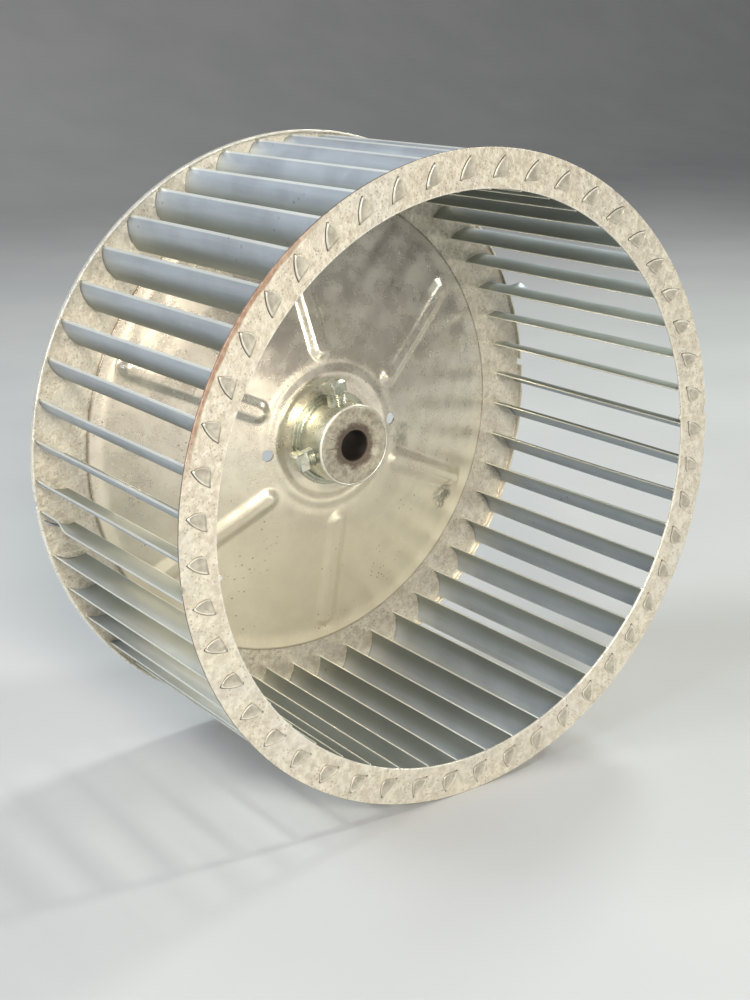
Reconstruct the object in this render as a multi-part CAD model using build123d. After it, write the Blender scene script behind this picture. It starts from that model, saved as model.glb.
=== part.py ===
from build123d import *
import math
import os

# Blower motor wheel: a single-inlet, forward-curved centrifugal wheel in galvanised sheet steel.
#
# Frame of the finished part: the shaft axis is Y, the open inlet faces -Y, the closed back faces +Y,
# +Z is up, and the origin is on the axis midway between the two end rings.
#
# The pieces are first built in "wheel space", where the shaft axis is Z, z = 0 is the rear face of
# the back ring, +z points to the inlet, and angles run counter-clockwise as seen from the inlet.

# ---- Driving dimensions, in millimetres and degrees ----

wheel_diameter = 254.0
ring_span = 120.65  # over the outer faces of the two end rings
clocking_angle = 6.0  # the line of the ring notches and of the two holes in the disc

# Blades
blade_count = 48
blade_sheet = 0.6
blade_first_angle = 2.1  # where the outermost corner of blade 1's tab stands
blade_curve_radius = 14.0
blade_tip_radius = 124.1  # outer end of the slot that takes the tab
blade_tip_lean = 50.4  # between the blade and the radius, at the outer end of the slot
blade_inner_edge_radius = 112.0
blade_outer_edge_radius = 125.1
tab_root_radius = 116.2  # inner end of the slot
tab_foot_radius = 116.9  # the free corner of the folded tab
tab_foot_angle = -0.7
tab_bulge = 1.0  # of the tab's free side, beyond a straight line
slot_clearance = 0.12

# End rings
ring_sheet = 0.9
ring_lip_height = 3.0  # of the back ring; the front ring is flat
ring_bend_radius = 1.3
front_ring_inner_radius = 112.3
back_ring_inner_radius = 97.5
notch_radius = 1.75
notch_depth = 1.3
nub_radius = 1.1

# Centre disc
disc_sheet = 1.2
disc_edge_radius = 103.0
disc_cone_outer_radius = 97.0
disc_cone_inner_radius = 34.0
disc_middle_height = 24.1  # front face of the raised middle, above the rear face of the back ring
disc_bore_radius = 13.2
bead_radius = 28.0
bead_half_width = 2.6
bead_height = 1.1
rib_count = 6
rib_offset_angle = 30.0  # first rib, from the clocking line
rib_inner_radius = 39.4
rib_outer_radius = 91.0
rib_half_width = 5.6
rib_height = 2.3
rib_root_depth = 0.6  # how far a rib reaches into the curved cone below its crown line
disc_hole_circle_radius = 32.0
disc_hole_radius = 2.6

# Hub
hub_radius = 17.46
hub_bore_radius = 6.35
hub_face_height = 41.9
hub_collar_radius = 20.5
hub_collar_height = 2.4
hub_stake_radius = 15.5
hub_stake_height = 1.6
hub_spigot_clearance = 0.05
hub_chamfer = 0.6

# Square-head set screws
screw_height = 34.5  # of both screw axes, above the rear face of the back ring
screw_thread_radius = 3.97
screw_hole_radius = 4.02
screw_shank_length = 12.7
screw_head_width = 7.94
screw_head_height = 5.0
screw_head_corner_radius = 5.1
screw_point_chamfer = 0.8
screw_cup_radius = 2.2
screw_cup_floor_radius = 0.7
screw_cup_depth = 1.0
upper_screw = {"angle": 102.0, "tip_radius": 10.2, "roll": 12.0}  # backed out
lower_screw = {"angle": 192.0, "tip_radius": 8.4, "roll": 5.0}  # further in

wheel_radius = wheel_diameter / 2
to_part_frame = Location((0, ring_span / 2, 0), (90, 0, 0))


def polar(radius, angle):
    """A point in wheel space, on z = 0."""
    return Vector(radius * math.cos(math.radians(angle)), radius * math.sin(math.radians(angle)))


def revolved(outline):
    """A body of revolution about Z from an outline of (radius, height) points."""
    profile = make_face(Plane.XZ * Polyline(*outline, close=True))
    return revolve(profile, Axis.Z)


# ---- Blade section: one circular arc, nearly radial at the inner edge and leaning at the outer ----

blade_centre = Vector(
    blade_tip_radius - blade_curve_radius * math.sin(math.radians(blade_tip_lean)),
    -blade_curve_radius * math.cos(math.radians(blade_tip_lean)),
)


def angle_on_blade_curve(wheel_radius_there):
    """Angle about the blade's own centre at which its curve crosses a circle around the shaft."""
    reach = blade_centre.length
    cosine = (wheel_radius_there**2 - reach**2 - blade_curve_radius**2) / (2 * reach * blade_curve_radius)
    return blade_centre.get_signed_angle(Vector(1, 0), Vector(0, 0, -1)) + math.degrees(math.acos(cosine))


def point_by_blade(radius, angle):
    """A point at a radius and angle about the blade's own centre."""
    return blade_centre + polar(radius, angle)


def blade_band(outer_end_radius, inner_end_radius, thickness, end_margin=0.0):
    """The part of the blade's section between two circles around the shaft."""
    margin_angle = math.degrees(end_margin / blade_curve_radius)
    start = angle_on_blade_curve(outer_end_radius) - margin_angle
    end = angle_on_blade_curve(inner_end_radius) + margin_angle
    middle = (start + end) / 2
    convex = blade_curve_radius + thickness / 2
    concave = blade_curve_radius - thickness / 2
    edges = [
        ThreePointArc(*[point_by_blade(convex, a) for a in (start, middle, end)]),
        Line(point_by_blade(convex, end), point_by_blade(concave, end)),
        ThreePointArc(*[point_by_blade(concave, a) for a in (end, middle, start)]),
        Line(point_by_blade(concave, start), point_by_blade(convex, start)),
    ]
    return make_face(edges)


def folded_tab():
    """Outline of a tab folded flat: the slot's curve, a straight foot and a slightly full free side."""
    start = angle_on_blade_curve(blade_tip_radius)
    end = angle_on_blade_curve(tab_root_radius)
    convex = blade_curve_radius + blade_sheet / 2
    concave = blade_curve_radius - blade_sheet / 2
    foot = polar(tab_foot_radius, tab_foot_angle)
    tip = point_by_blade(concave, start)
    outward = (foot - tip).rotate(Axis.Z, 90).normalized() * tab_bulge
    edges = [
        ThreePointArc(*[point_by_blade(convex, a) for a in (start, (start + end) / 2, end)]),
        Line(point_by_blade(convex, end), foot),
        ThreePointArc(foot, (foot + tip) / 2 + outward, tip),
        Line(tip, point_by_blade(convex, start)),
    ]
    return make_face(edges)


def make_blade():
    """One blade with the tabs at both ends, its outermost tab corner at angle 0."""
    body = extrude(
        blade_band(blade_outer_edge_radius, blade_inner_edge_radius, blade_sheet),
        ring_span - 2 * ring_sheet,
    )
    neck = extrude(blade_band(blade_tip_radius, tab_root_radius, blade_sheet), ring_span)
    tab = extrude(folded_tab(), blade_sheet)
    return Pos(0, 0, ring_sheet) * body + neck + Pos(0, 0, ring_span) * tab + Pos(0, 0, -blade_sheet) * tab


def blade_angle(index):
    return blade_first_angle + index * 360 / blade_count


# ---- End rings ----


def flat_section(inner_radius):
    """Section through a ring cut from flat sheet, lying on z = 0."""
    corners = [(inner_radius, 0), (wheel_radius, 0), (wheel_radius, ring_sheet), (inner_radius, ring_sheet)]
    return make_face(Plane.XZ * Polyline(*corners, close=True))


def lipped_section(inner_radius):
    """Section through a ring on z = 0 with its outer edge turned up into a lip."""
    outline = make_face(
        Plane.XZ
        * Polyline(
            (inner_radius, 0),
            (wheel_radius, 0),
            (wheel_radius, ring_lip_height),
            (wheel_radius - ring_sheet, ring_lip_height),
            (wheel_radius - ring_sheet, ring_sheet),
            (inner_radius, ring_sheet),
            close=True,
        )
    )
    outer_corner = outline.vertices().sort_by_distance((wheel_radius, 0, 0))[0]
    outline = fillet(outer_corner, ring_bend_radius)
    inner_corner = outline.vertices().sort_by_distance((wheel_radius - ring_sheet, 0, ring_sheet))[0]
    return fillet(inner_corner, ring_bend_radius - ring_sheet)


def end_ring(section, inner_radius):
    """The ring of that section with a slot for each blade, and a notch and a nub at both clockings."""
    ring = revolve(section, Axis.Z)

    slot = extrude(
        blade_band(blade_tip_radius, tab_root_radius, blade_sheet + 2 * slot_clearance, slot_clearance),
        ring_sheet,
    )
    ring -= [Rot(Z=blade_angle(index)) * slot for index in range(blade_count)]

    for angle in (clocking_angle, clocking_angle + 180):
        notch_centre = wheel_radius - notch_depth + notch_radius
        notch = Pos(notch_centre, 0, ring_lip_height / 2) * Cylinder(notch_radius, 2 * ring_lip_height)
        nub = Pos(inner_radius, 0, ring_sheet / 2) * Cylinder(nub_radius, ring_sheet)
        ring -= Rot(Z=angle) * notch
        ring += Rot(Z=angle) * nub
    return ring


def make_back_ring():
    """The ring that carries the disc, its lip turned forward round the blades' rear ends."""
    return end_ring(lipped_section(back_ring_inner_radius), back_ring_inner_radius)


def make_front_ring():
    """The flat inlet ring, against the blades' front ends."""
    ring = end_ring(flat_section(front_ring_inner_radius), front_ring_inner_radius)
    return Pos(0, 0, ring_span - ring_sheet) * ring


# ---- Centre disc ----


def dome_bar(length, half_width, height, root_depth):
    """A straight round-topped bar along X from x = 0, with round ends, as wide as stated at z = 0."""
    top_radius = (half_width**2 + height**2) / (2 * height)
    sink = top_radius - height
    ball = Sphere(top_radius)
    barrel = Pos(length / 2, 0, 0) * Rot(Y=90) * Cylinder(top_radius, length)
    capsule = Pos(0, 0, -sink) * (barrel + ball + Pos(length, 0, 0) * ball)
    room_length = length + 2 * top_radius
    room_height = root_depth + height
    room = Pos(length / 2, 0, (height - root_depth) / 2) * Box(room_length, 2 * top_radius, room_height)
    return capsule & room


def make_centre_disc():
    """A pressed dish: flat rim on the back ring, straight cone, flat raised middle, ribs and a bead."""
    rim_rear = ring_sheet
    middle_front = disc_middle_height
    disc = revolved(
        [
            (disc_edge_radius, rim_rear),
            (disc_edge_radius, rim_rear + disc_sheet),
            (disc_cone_outer_radius, rim_rear + disc_sheet),
            (disc_cone_inner_radius, middle_front),
            (bead_radius + bead_half_width, middle_front),
            (bead_radius, middle_front + bead_height),
            (bead_radius - bead_half_width, middle_front),
            (disc_bore_radius, middle_front),
            (disc_bore_radius, middle_front - disc_sheet),
            (bead_radius - bead_half_width, middle_front - disc_sheet),
            (bead_radius, middle_front - disc_sheet + bead_height),
            (bead_radius + bead_half_width, middle_front - disc_sheet),
            (disc_cone_inner_radius, middle_front - disc_sheet),
            (disc_cone_outer_radius, rim_rear),
        ]
    )

    cone_rise = middle_front - rim_rear - disc_sheet
    cone_run = disc_cone_outer_radius - disc_cone_inner_radius
    cone_slope = math.degrees(math.atan2(cone_rise, cone_run))
    rib_start_height = middle_front - (rib_inner_radius - disc_cone_inner_radius) * cone_rise / cone_run
    rib_length = (rib_outer_radius - rib_inner_radius) / math.cos(math.radians(cone_slope))
    on_cone = Pos(rib_inner_radius, 0, rib_start_height) * Rot(Y=cone_slope)
    bar = dome_bar(rib_length, rib_half_width, rib_height, rib_root_depth)
    rib = on_cone * bar
    hollow = on_cone * Pos(0, 0, -disc_sheet) * bar
    for index in range(rib_count):
        turn = Rot(Z=clocking_angle + rib_offset_angle + index * 360 / rib_count)
        disc += turn * rib
        disc -= turn * hollow

    hole = Pos(disc_hole_circle_radius, 0, middle_front) * Cylinder(disc_hole_radius, 4 * disc_sheet)
    for angle in (clocking_angle, clocking_angle + 180):
        disc -= Rot(Z=angle) * hole
    return disc


# ---- Hub and set screws ----


def screw_placement(screw, tip_radius):
    """Carries +Z of a screw, tip at the origin, to the screw's radius in the hub."""
    return Pos(0, 0, screw_height) * Rot(Z=screw["angle"]) * Rot(Y=90) * Pos(0, 0, tip_radius)


def make_hub():
    """A turned hub: collar on the front of the disc, spigot through it, staked over behind."""
    disc_front = disc_middle_height
    disc_rear = disc_middle_height - disc_sheet
    spigot_radius = disc_bore_radius - hub_spigot_clearance
    hub = revolved(
        [
            (hub_bore_radius, disc_rear - hub_stake_height),
            (hub_stake_radius, disc_rear - hub_stake_height),
            (hub_stake_radius, disc_rear),
            (spigot_radius, disc_rear),
            (spigot_radius, disc_front),
            (hub_collar_radius, disc_front),
            (hub_collar_radius, disc_front + hub_collar_height),
            (hub_radius, disc_front + hub_collar_height),
            (hub_radius, hub_face_height - hub_chamfer),
            (hub_radius - hub_chamfer, hub_face_height),
            (hub_bore_radius + hub_chamfer, hub_face_height),
            (hub_bore_radius, hub_face_height - hub_chamfer),
        ]
    )
    reach = hub_collar_radius
    tapped_hole = Pos(0, 0, reach / 2) * Cylinder(screw_hole_radius, reach)
    for screw in (upper_screw, lower_screw):
        hub -= screw_placement(screw, 0) * tapped_hole
    return hub


def make_set_screw(screw):
    """A cup-point screw with a square head, its tip at the screw's own radius."""
    shank = Pos(0, 0, screw_shank_length / 2) * Cylinder(screw_thread_radius, screw_shank_length)
    shank = chamfer(shank.edges().sort_by(Axis.Z)[0], screw_point_chamfer)
    shank -= Pos(0, 0, screw_cup_depth / 2) * Cone(
        screw_cup_radius, screw_cup_floor_radius, screw_cup_depth
    )
    block = Box(screw_head_width, screw_head_width, screw_head_height)
    rounding = Cylinder(screw_head_corner_radius, screw_head_height)
    rounding = chamfer(rounding.edges().sort_by(Axis.Z)[-1], screw_point_chamfer)
    head = Pos(0, 0, screw_shank_length + screw_head_height / 2) * (block & rounding)
    return screw_placement(screw, screw["tip_radius"]) * Rot(Z=screw["roll"]) * (shank + head)


# ---- Write every piece as a node of its own ----

pieces = {
    "front_ring": make_front_ring(),
    "back_ring": make_back_ring(),
    "centre_disc": make_centre_disc(),
    "hub": make_hub(),
    "set_screw_upper": make_set_screw(upper_screw),
    "set_screw_lower": make_set_screw(lower_screw),
}
blade = make_blade()
for index in range(blade_count):
    pieces[f"blade_{index + 1:02d}"] = Rot(Z=blade_angle(index)) * blade

os.makedirs("parts", exist_ok=True)
for name, shape in pieces.items():
    placed = to_part_frame * shape
    placed.label = name
    export_step(placed, f"parts/{name}.step")
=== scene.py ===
import math
import random

import bmesh
import bpy
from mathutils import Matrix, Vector, geometry, noise


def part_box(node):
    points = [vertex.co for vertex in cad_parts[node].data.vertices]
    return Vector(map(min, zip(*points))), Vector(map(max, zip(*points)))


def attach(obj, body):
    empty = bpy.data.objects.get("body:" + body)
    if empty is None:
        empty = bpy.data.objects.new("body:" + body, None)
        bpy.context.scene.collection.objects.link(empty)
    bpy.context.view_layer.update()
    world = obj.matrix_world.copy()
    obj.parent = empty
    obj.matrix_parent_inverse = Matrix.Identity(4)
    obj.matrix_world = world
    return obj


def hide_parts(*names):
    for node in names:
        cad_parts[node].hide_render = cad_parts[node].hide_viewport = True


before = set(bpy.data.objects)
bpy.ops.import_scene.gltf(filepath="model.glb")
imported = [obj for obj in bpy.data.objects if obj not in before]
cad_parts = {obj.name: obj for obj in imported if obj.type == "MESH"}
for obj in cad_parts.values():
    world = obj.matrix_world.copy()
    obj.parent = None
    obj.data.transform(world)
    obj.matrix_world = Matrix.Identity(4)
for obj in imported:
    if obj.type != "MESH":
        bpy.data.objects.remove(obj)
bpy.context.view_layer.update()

# Blower motor wheel. Sizes below are in millimetres and degrees unless they say otherwise.
#
# Pieces are drawn in wheel space: x to the right and y up as seen from the inlet, and h the height
# above the rear face of the back ring, towards the inlet. place() carries that to the row frame.

MM = 0.001
WELD_DISTANCE = 1e-6  # metres
ARC_STEPS = 5
rng = random.Random(48)


def node_box(node):
    """Lowest and highest corner of a CAD node, in millimetres."""
    low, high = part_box(node)
    return low / MM, high / MM


front_ring_low, front_ring_high = node_box("front_ring")
back_ring_low, back_ring_high = node_box("back_ring")
disc_low, disc_high = node_box("centre_disc")
hub_low, hub_high = node_box("hub")

WHEEL_RADIUS = front_ring_high.x
RING_SPAN = back_ring_high.y - front_ring_low.y
CLOCKING = 6.0  # of the rings' notches and nubs and the disc's holes

BLADE_COUNT = 48
BLADE_SHEET = 0.6
BLADE_FIRST_ANGLE = 2.1
BLADE_CURVE_RADIUS = 14.0
BLADE_TIP_RADIUS = 124.1
BLADE_TIP_LEAN = 50.4
BLADE_INNER_EDGE = 112.0
BLADE_OUTER_EDGE = 125.1
BLADE_SECTION_STEPS = 16
KNOCKED_CORNER_BLADE = 25
NICKED_EDGE_BLADE = 3
TAB_ROOT_RADIUS = 116.2
TAB_FOOT_RADIUS = 116.9
TAB_FOOT_ANGLE = -0.7
TAB_BULGE = 1.0
TAB_BEND_RADIUS = 0.5
TAB_ROOT_DEPTH = 0.4  # below the ring's inner face
TAB_TROUGH_DEPTH = 0.27
TAB_END_DROP = 0.34  # how much lower the fold lies at its foot and tip
TAB_PRESS = 0.02  # how far the fold is pressed below a full sheet thickness
TAB_LEAST_WIDTH = 0.9
TAB_FOOT_NARROWING = 0.22
TAB_FOOT_SHARE = 0.12  # the part of a tab's length that narrows
TAB_TIP_SHARE = 0.9  # where the rounded tip starts
TAB_STEPS = 20

RING_SHEET = 0.9
RING_FACE = RING_SPAN / 2 * MM  # height of the end rings' outer faces, from mid-wheel
TAB_CREST = RING_FACE + (BLADE_SHEET - TAB_PRESS) * MM
RING_LIP_HEIGHT = 3.0
RING_BEND_RADIUS = 1.3
RING_EDGE_ROUNDING = 0.15
FRONT_RING_INNER_RADIUS = 112.3
BACK_RING_INNER_RADIUS = 97.5
SLOT_CLEARANCE = 0.2
SLOT_STEPS = 10
NOTCH_RADIUS = 1.75
NOTCH_DEPTH = 1.3
NUB_RADIUS = 1.1
RING_COLUMNS = 360  # between one notch and the other

DISC_SHEET = 1.2
DISC_EDGE_RADIUS = disc_high.x
DISC_CONE_OUTER = 97.0
DISC_CONE_INNER = 34.0
DISC_MIDDLE_HEIGHT = 24.1
DISC_BORE_RADIUS = 13.2
DISC_EDGE_ROUNDING = 0.2
DISC_BEND_SOFTNESS = 2.2
DISC_COLUMNS = 720
DISC_ROWS = 130
BEAD_RADIUS = 28.0
BEAD_HALF_WIDTH = 4.4
BEAD_HEIGHT = 1.05
RIB_COUNT = 6
RIB_FIRST_ANGLE = CLOCKING + 30.0
RIB_INNER_RADIUS = 39.4
RIB_OUTER_RADIUS = 91.0
RIB_HALF_WIDTH = 5.6
RIB_HEIGHT = 2.2
DISC_HOLE_CIRCLE_RADIUS = 32.0
DISC_HOLE_RADIUS = 2.6

HUB_RADIUS = 17.46
HUB_BORE_RADIUS = 6.35
HUB_FACE_HEIGHT = RING_SPAN / 2 - hub_low.y
HUB_REAR_HEIGHT = RING_SPAN / 2 - hub_high.y
HUB_FACE_Y = hub_low.y * MM
HUB_COLLAR_RADIUS = hub_high.x
HUB_COLLAR_HEIGHT = 2.4
HUB_COLLAR_STEP_WIDTH = 1.3
HUB_COLLAR_STEP_DEPTH = 1.0
HUB_COLLAR_ROUNDING = 0.4
HUB_FILLET = 0.5
HUB_ROUNDING = 0.75
HUB_GROOVE_DEPTH = 0.16
HUB_BORE_CHAMFER = 0.4
HUB_STAKE_RADIUS = 15.5
HUB_STAKE_ROUNDING = 0.9
HUB_SPIGOT_GAP = 0.05
HUB_SEGMENTS = 192
HUB_SHARP_ANGLE = 30

SCREW_HEIGHT = 34.5
SCREW_THREAD_RADIUS = 3.97
SCREW_HOLE_RADIUS = 4.02
SCREW_THREAD_PITCH = 25.4 / 24
SCREW_THREAD_DEPTH = 0.6
SCREW_SHANK_LENGTH = 12.7
SCREW_CUP_RADIUS = 2.2
SCREW_CUP_DEPTH = 0.9
SCREW_POINT_RADIUS = 2.4
SCREW_POINT_SLOPE = 1.9  # millimetres of radius for each millimetre along the screw
SCREW_COLUMNS = 56
SCREW_ROWS_PER_TURN = 10
SCREW_HEAD_WIDTH = 7.94
SCREW_HEAD_HEIGHT = 5.0
SCREW_HEAD_CORNER = 0.35
SCREW_HEAD_REACH = 1.29  # from the axis to the worn corners, in half widths
SCREW_CHAMFER_HEIGHT = 1.0
SCREW_CHAMFER_SLOPE = 1.5
SCREWS = {
    "upper_screw": {"node": "set_screw_upper", "angle": 102.0, "tip_radius": 10.2, "roll": 12.0},
    "lower_screw": {"node": "set_screw_lower", "angle": 192.0, "tip_radius": 8.4, "roll": 5.0},
}

FLOOR_REACH = 6000.0  # towards the camera
FLOOR_WALL = 3300.0  # away from it, to the upright part of the sweep
FLOOR_WALL_TOP = 2200.0
FLOOR_BEND = 1500.0
FLOOR_SIDES = (-9000, -3000, 3000, 9000)

CAMERA_PLACE = (-0.3553, -0.4874, 0.1679)  # metres
CAMERA_FORWARD = (0.55972, 0.77390, -0.29631)
CAMERA_LENS = 54.97
CAMERA_SENSOR = 36.0


# ---- Small geometry helpers ----


def place(x, y, h):
    """A point of wheel space in the row frame, in metres."""
    return Vector((x, RING_SPAN / 2 - h, y)) * MM


def polar(radius, angle):
    return radius * math.cos(math.radians(angle)), radius * math.sin(math.radians(angle))


def smoothstep(low, high, value):
    t = min(1.0, max(0.0, (value - low) / (high - low)))
    return t * t * (3 - 2 * t)


class Shell:
    """Vertices and faces of one piece, in wheel space."""

    def __init__(self):
        self.points = []
        self.faces = []

    def add(self, points):
        """Adds points and returns their numbers."""
        first = len(self.points)
        self.points.extend(points)
        return list(range(first, len(self.points)))

    def grid(self, rows, closed_rows=False, closed_columns=False):
        """Quads between rows of vertex numbers."""
        row_count = len(rows)
        column_count = len(rows[0])
        for i in range(row_count if closed_rows else row_count - 1):
            upper, lower = rows[i], rows[(i + 1) % row_count]
            for j in range(column_count if closed_columns else column_count - 1):
                k = (j + 1) % column_count
                self.faces.append((upper[j], upper[k], lower[k], lower[j]))

    def build(self, name, body, nodes, sharp_angle):
        """Makes the object, in metres in the row frame, riding on its CAD body."""
        bm = bmesh.new()
        verts = [bm.verts.new(place(*p)) for p in self.points]
        for face in self.faces:
            if len(set(face)) > 2:
                bm.faces.new([verts[i] for i in dict.fromkeys(face)])
        bmesh.ops.remove_doubles(bm, verts=bm.verts, dist=WELD_DISTANCE)
        bmesh.ops.recalc_face_normals(bm, faces=bm.faces)
        mesh = bpy.data.meshes.new(name)
        bm.to_mesh(mesh)
        bm.free()
        return finish_piece(mesh, name, body, nodes, sharp_angle)


def finish_piece(mesh, name, body, nodes, sharp_angle):
    """Makes the object that shows a mesh in place of its CAD nodes."""
    mesh.shade_smooth()
    mesh.set_sharp_from_angle(angle=math.radians(sharp_angle))
    piece = bpy.data.objects.new(name, mesh)
    bpy.context.scene.collection.objects.link(piece)
    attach(piece, body)
    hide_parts(*nodes)
    return piece


def lathe(shell, outline, segments):
    """A closed body of revolution from (radius, height) points."""
    angles = [360 * i / segments for i in range(segments)]
    rows = [shell.add([(*polar(radius, a), height) for a in angles]) for radius, height in outline]
    shell.grid(rows, closed_rows=True, closed_columns=True)


def cut_away(piece, cutters):
    """Takes the cutters' shapes out of a piece and removes the cutters."""
    for cutter in cutters:
        modifier = piece.modifiers.new("cut", "BOOLEAN")
        modifier.operation = "DIFFERENCE"
        modifier.solver = "EXACT"
        modifier.object = cutter
    depsgraph = bpy.context.evaluated_depsgraph_get()
    cut_mesh = bpy.data.meshes.new_from_object(piece.evaluated_get(depsgraph))
    cut_mesh.name = piece.data.name
    piece.modifiers.clear()
    piece.data = cut_mesh
    for cutter in cutters:
        bpy.data.objects.remove(cutter)


def waver(x, y, layer, height, per_mm):
    """Smooth unevenness of about this height; each layer has a pattern of its own."""
    return height * noise.noise(Vector((x, y, layer)) * per_mm)


# ---- Blade curve ----

blade_centre_x = BLADE_TIP_RADIUS - BLADE_CURVE_RADIUS * math.sin(math.radians(BLADE_TIP_LEAN))
blade_centre_y = -BLADE_CURVE_RADIUS * math.cos(math.radians(BLADE_TIP_LEAN))
blade_centre_reach = math.hypot(blade_centre_x, blade_centre_y)
blade_centre_angle = math.degrees(math.atan2(blade_centre_y, blade_centre_x))


def angle_on_blade_curve(radius):
    """Angle about the blade's own centre at which its curve crosses a circle around the shaft."""
    squares = radius**2 - blade_centre_reach**2 - BLADE_CURVE_RADIUS**2
    cosine = squares / (2 * blade_centre_reach * BLADE_CURVE_RADIUS)
    return blade_centre_angle + math.degrees(math.acos(cosine))


def point_by_blade(radius, angle):
    """A point around the centre of the first blade's curve."""
    x, y = polar(radius, angle)
    return blade_centre_x + x, blade_centre_y + y


def band_sides(outer_end_radius, inner_end_radius, thickness, steps, end_margin=0.0):
    """Convex and concave side of the blade's section, each from the outer end to the inner."""
    margin = math.degrees(end_margin / BLADE_CURVE_RADIUS)
    start = angle_on_blade_curve(outer_end_radius) - margin
    end = angle_on_blade_curve(inner_end_radius) + margin
    angles = [start + (end - start) * i / steps for i in range(steps + 1)]
    convex = [point_by_blade(BLADE_CURVE_RADIUS + thickness / 2, a) for a in angles]
    concave = [point_by_blade(BLADE_CURVE_RADIUS - thickness / 2, a) for a in angles]
    return convex, concave


def turned(point, angle):
    """An (x, y) point turned about the shaft."""
    c, s = math.cos(math.radians(angle)), math.sin(math.radians(angle))
    return point[0] * c - point[1] * s, point[0] * s + point[1] * c


def blade_angle(index):
    return BLADE_FIRST_ANGLE + index * 360 / BLADE_COUNT


# ---- Blades ----


def blade_section_loop():
    """The blade's section as one closed loop with rounded long edges."""
    convex, concave = band_sides(BLADE_OUTER_EDGE, BLADE_INNER_EDGE, BLADE_SHEET, BLADE_SECTION_STEPS)
    outer_nose = point_by_blade(BLADE_CURVE_RADIUS, angle_on_blade_curve(BLADE_OUTER_EDGE + 0.12))
    inner_nose = point_by_blade(BLADE_CURVE_RADIUS, angle_on_blade_curve(BLADE_INNER_EDGE - 0.2))
    return convex + [inner_nose] + concave[::-1] + [outer_nose]


def knock(index, p, h):
    """Angle by which a knock in service has moved a point of a blade; most blades have none."""
    outerness = smoothstep(BLADE_INNER_EDGE + 2, BLADE_OUTER_EDGE, math.hypot(*p))
    if index == KNOCKED_CORNER_BLADE:
        return -1.7 * outerness * smoothstep(23, 16, h)
    if index == NICKED_EDGE_BLADE:
        return 1.6 * outerness**3 * math.exp(-(((h - 17) / 3.2) ** 2))
    return 0.0


def add_blade_body(shell, index, bow, twist):
    """The curved blade between the rings, very slightly bowed and twisted as hand-fed strip is."""
    loop = blade_section_loop()
    low, high = RING_SHEET, RING_SPAN - RING_SHEET
    knocked_heights = [3.0 + 1.5 * i for i in range(19)]
    plain_heights = [40.0 + 11 * i for i in range(8)]
    rows = []
    for h in [low, *knocked_heights, *plain_heights, high]:
        t = (h - low) / (high - low)
        swing = blade_angle(index) + twist * (t - 0.5) + bow * math.sin(math.pi * t)
        rows.append(shell.add([(*turned(p, swing + knock(index, p, h)), h) for p in loop]))
    shell.grid(rows, closed_columns=True)
    half = len(loop) // 2 - 1
    for row in (rows[0], rows[-1]):
        convex, nose, concave, outer = row[:half], row[half], row[half + 1:-1], row[-1]
        shell.grid([convex, concave[::-1]])
        shell.faces.append((convex[-1], nose, concave[0]))
        shell.faces.append((concave[-1], outer, convex[0]))


def tab_profile(width, share):
    """Section across a folded tab: (distance from the slot, height above the ring's inner face).

    It rises through the slot, rolls over in a full bend, dips where the tool pressed it down,
    and ends in a raised, rounded free edge. The dip and the height fade out at foot and tip.
    """
    half = BLADE_SHEET / 2
    bend = TAB_BEND_RADIUS
    full_height = smoothstep(0.0, 0.09, share) * smoothstep(1.0, 0.93, share)
    top = RING_SHEET + BLADE_SHEET - TAB_PRESS - TAB_END_DROP * (1 - full_height)
    edge = max(width, bend + 0.3)
    away_from_ends = smoothstep(0.0, 0.22, share) * smoothstep(1.0, 0.8, share)
    trough = TAB_TROUGH_DEPTH * min(1.0, (edge - 0.7) / 2.2) * away_from_ends
    outer = [(-half, -TAB_ROOT_DEPTH), (-half, top - bend)]
    for i in range(1, 7):
        a = math.radians(15 * i)
        outer.append((-half + bend * (1 - math.cos(a)), top - bend * (1 - math.sin(a))))
    flat = edge - bend
    outer += [(bend + 0.14 * flat, top - 0.8 * trough), (bend + 0.35 * flat, top - trough)]
    outer += [(bend + 0.62 * flat, top - 0.95 * trough), (edge - 0.2 - 0.14 * flat, top - 0.65 * trough)]
    outer += [(edge - 0.3, top - 0.03), (edge - 0.12, top - 0.1), (edge - 0.03, top - 0.24)]
    outer += [(edge, RING_SHEET + 0.16), (edge - 0.06, RING_SHEET + 0.01)]
    inner = [(half + 0.22, RING_SHEET + 0.01), (half, RING_SHEET - 0.2), (half, -TAB_ROOT_DEPTH)]
    return outer + inner


def free_side(share):
    """Point of a tab's free side, from its foot at 0 to its tip at 1, as a slightly full curve."""
    foot = Vector(polar(TAB_FOOT_RADIUS, TAB_FOOT_ANGLE))
    tip_angle = angle_on_blade_curve(BLADE_TIP_RADIUS)
    tip = Vector(point_by_blade(BLADE_CURVE_RADIUS - BLADE_SHEET / 2, tip_angle))
    inward = foot - tip
    outward = Vector((-inward.y, inward.x)).normalized()
    return foot.lerp(tip, share) + outward * TAB_BULGE * 4 * share * (1 - share)


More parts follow.
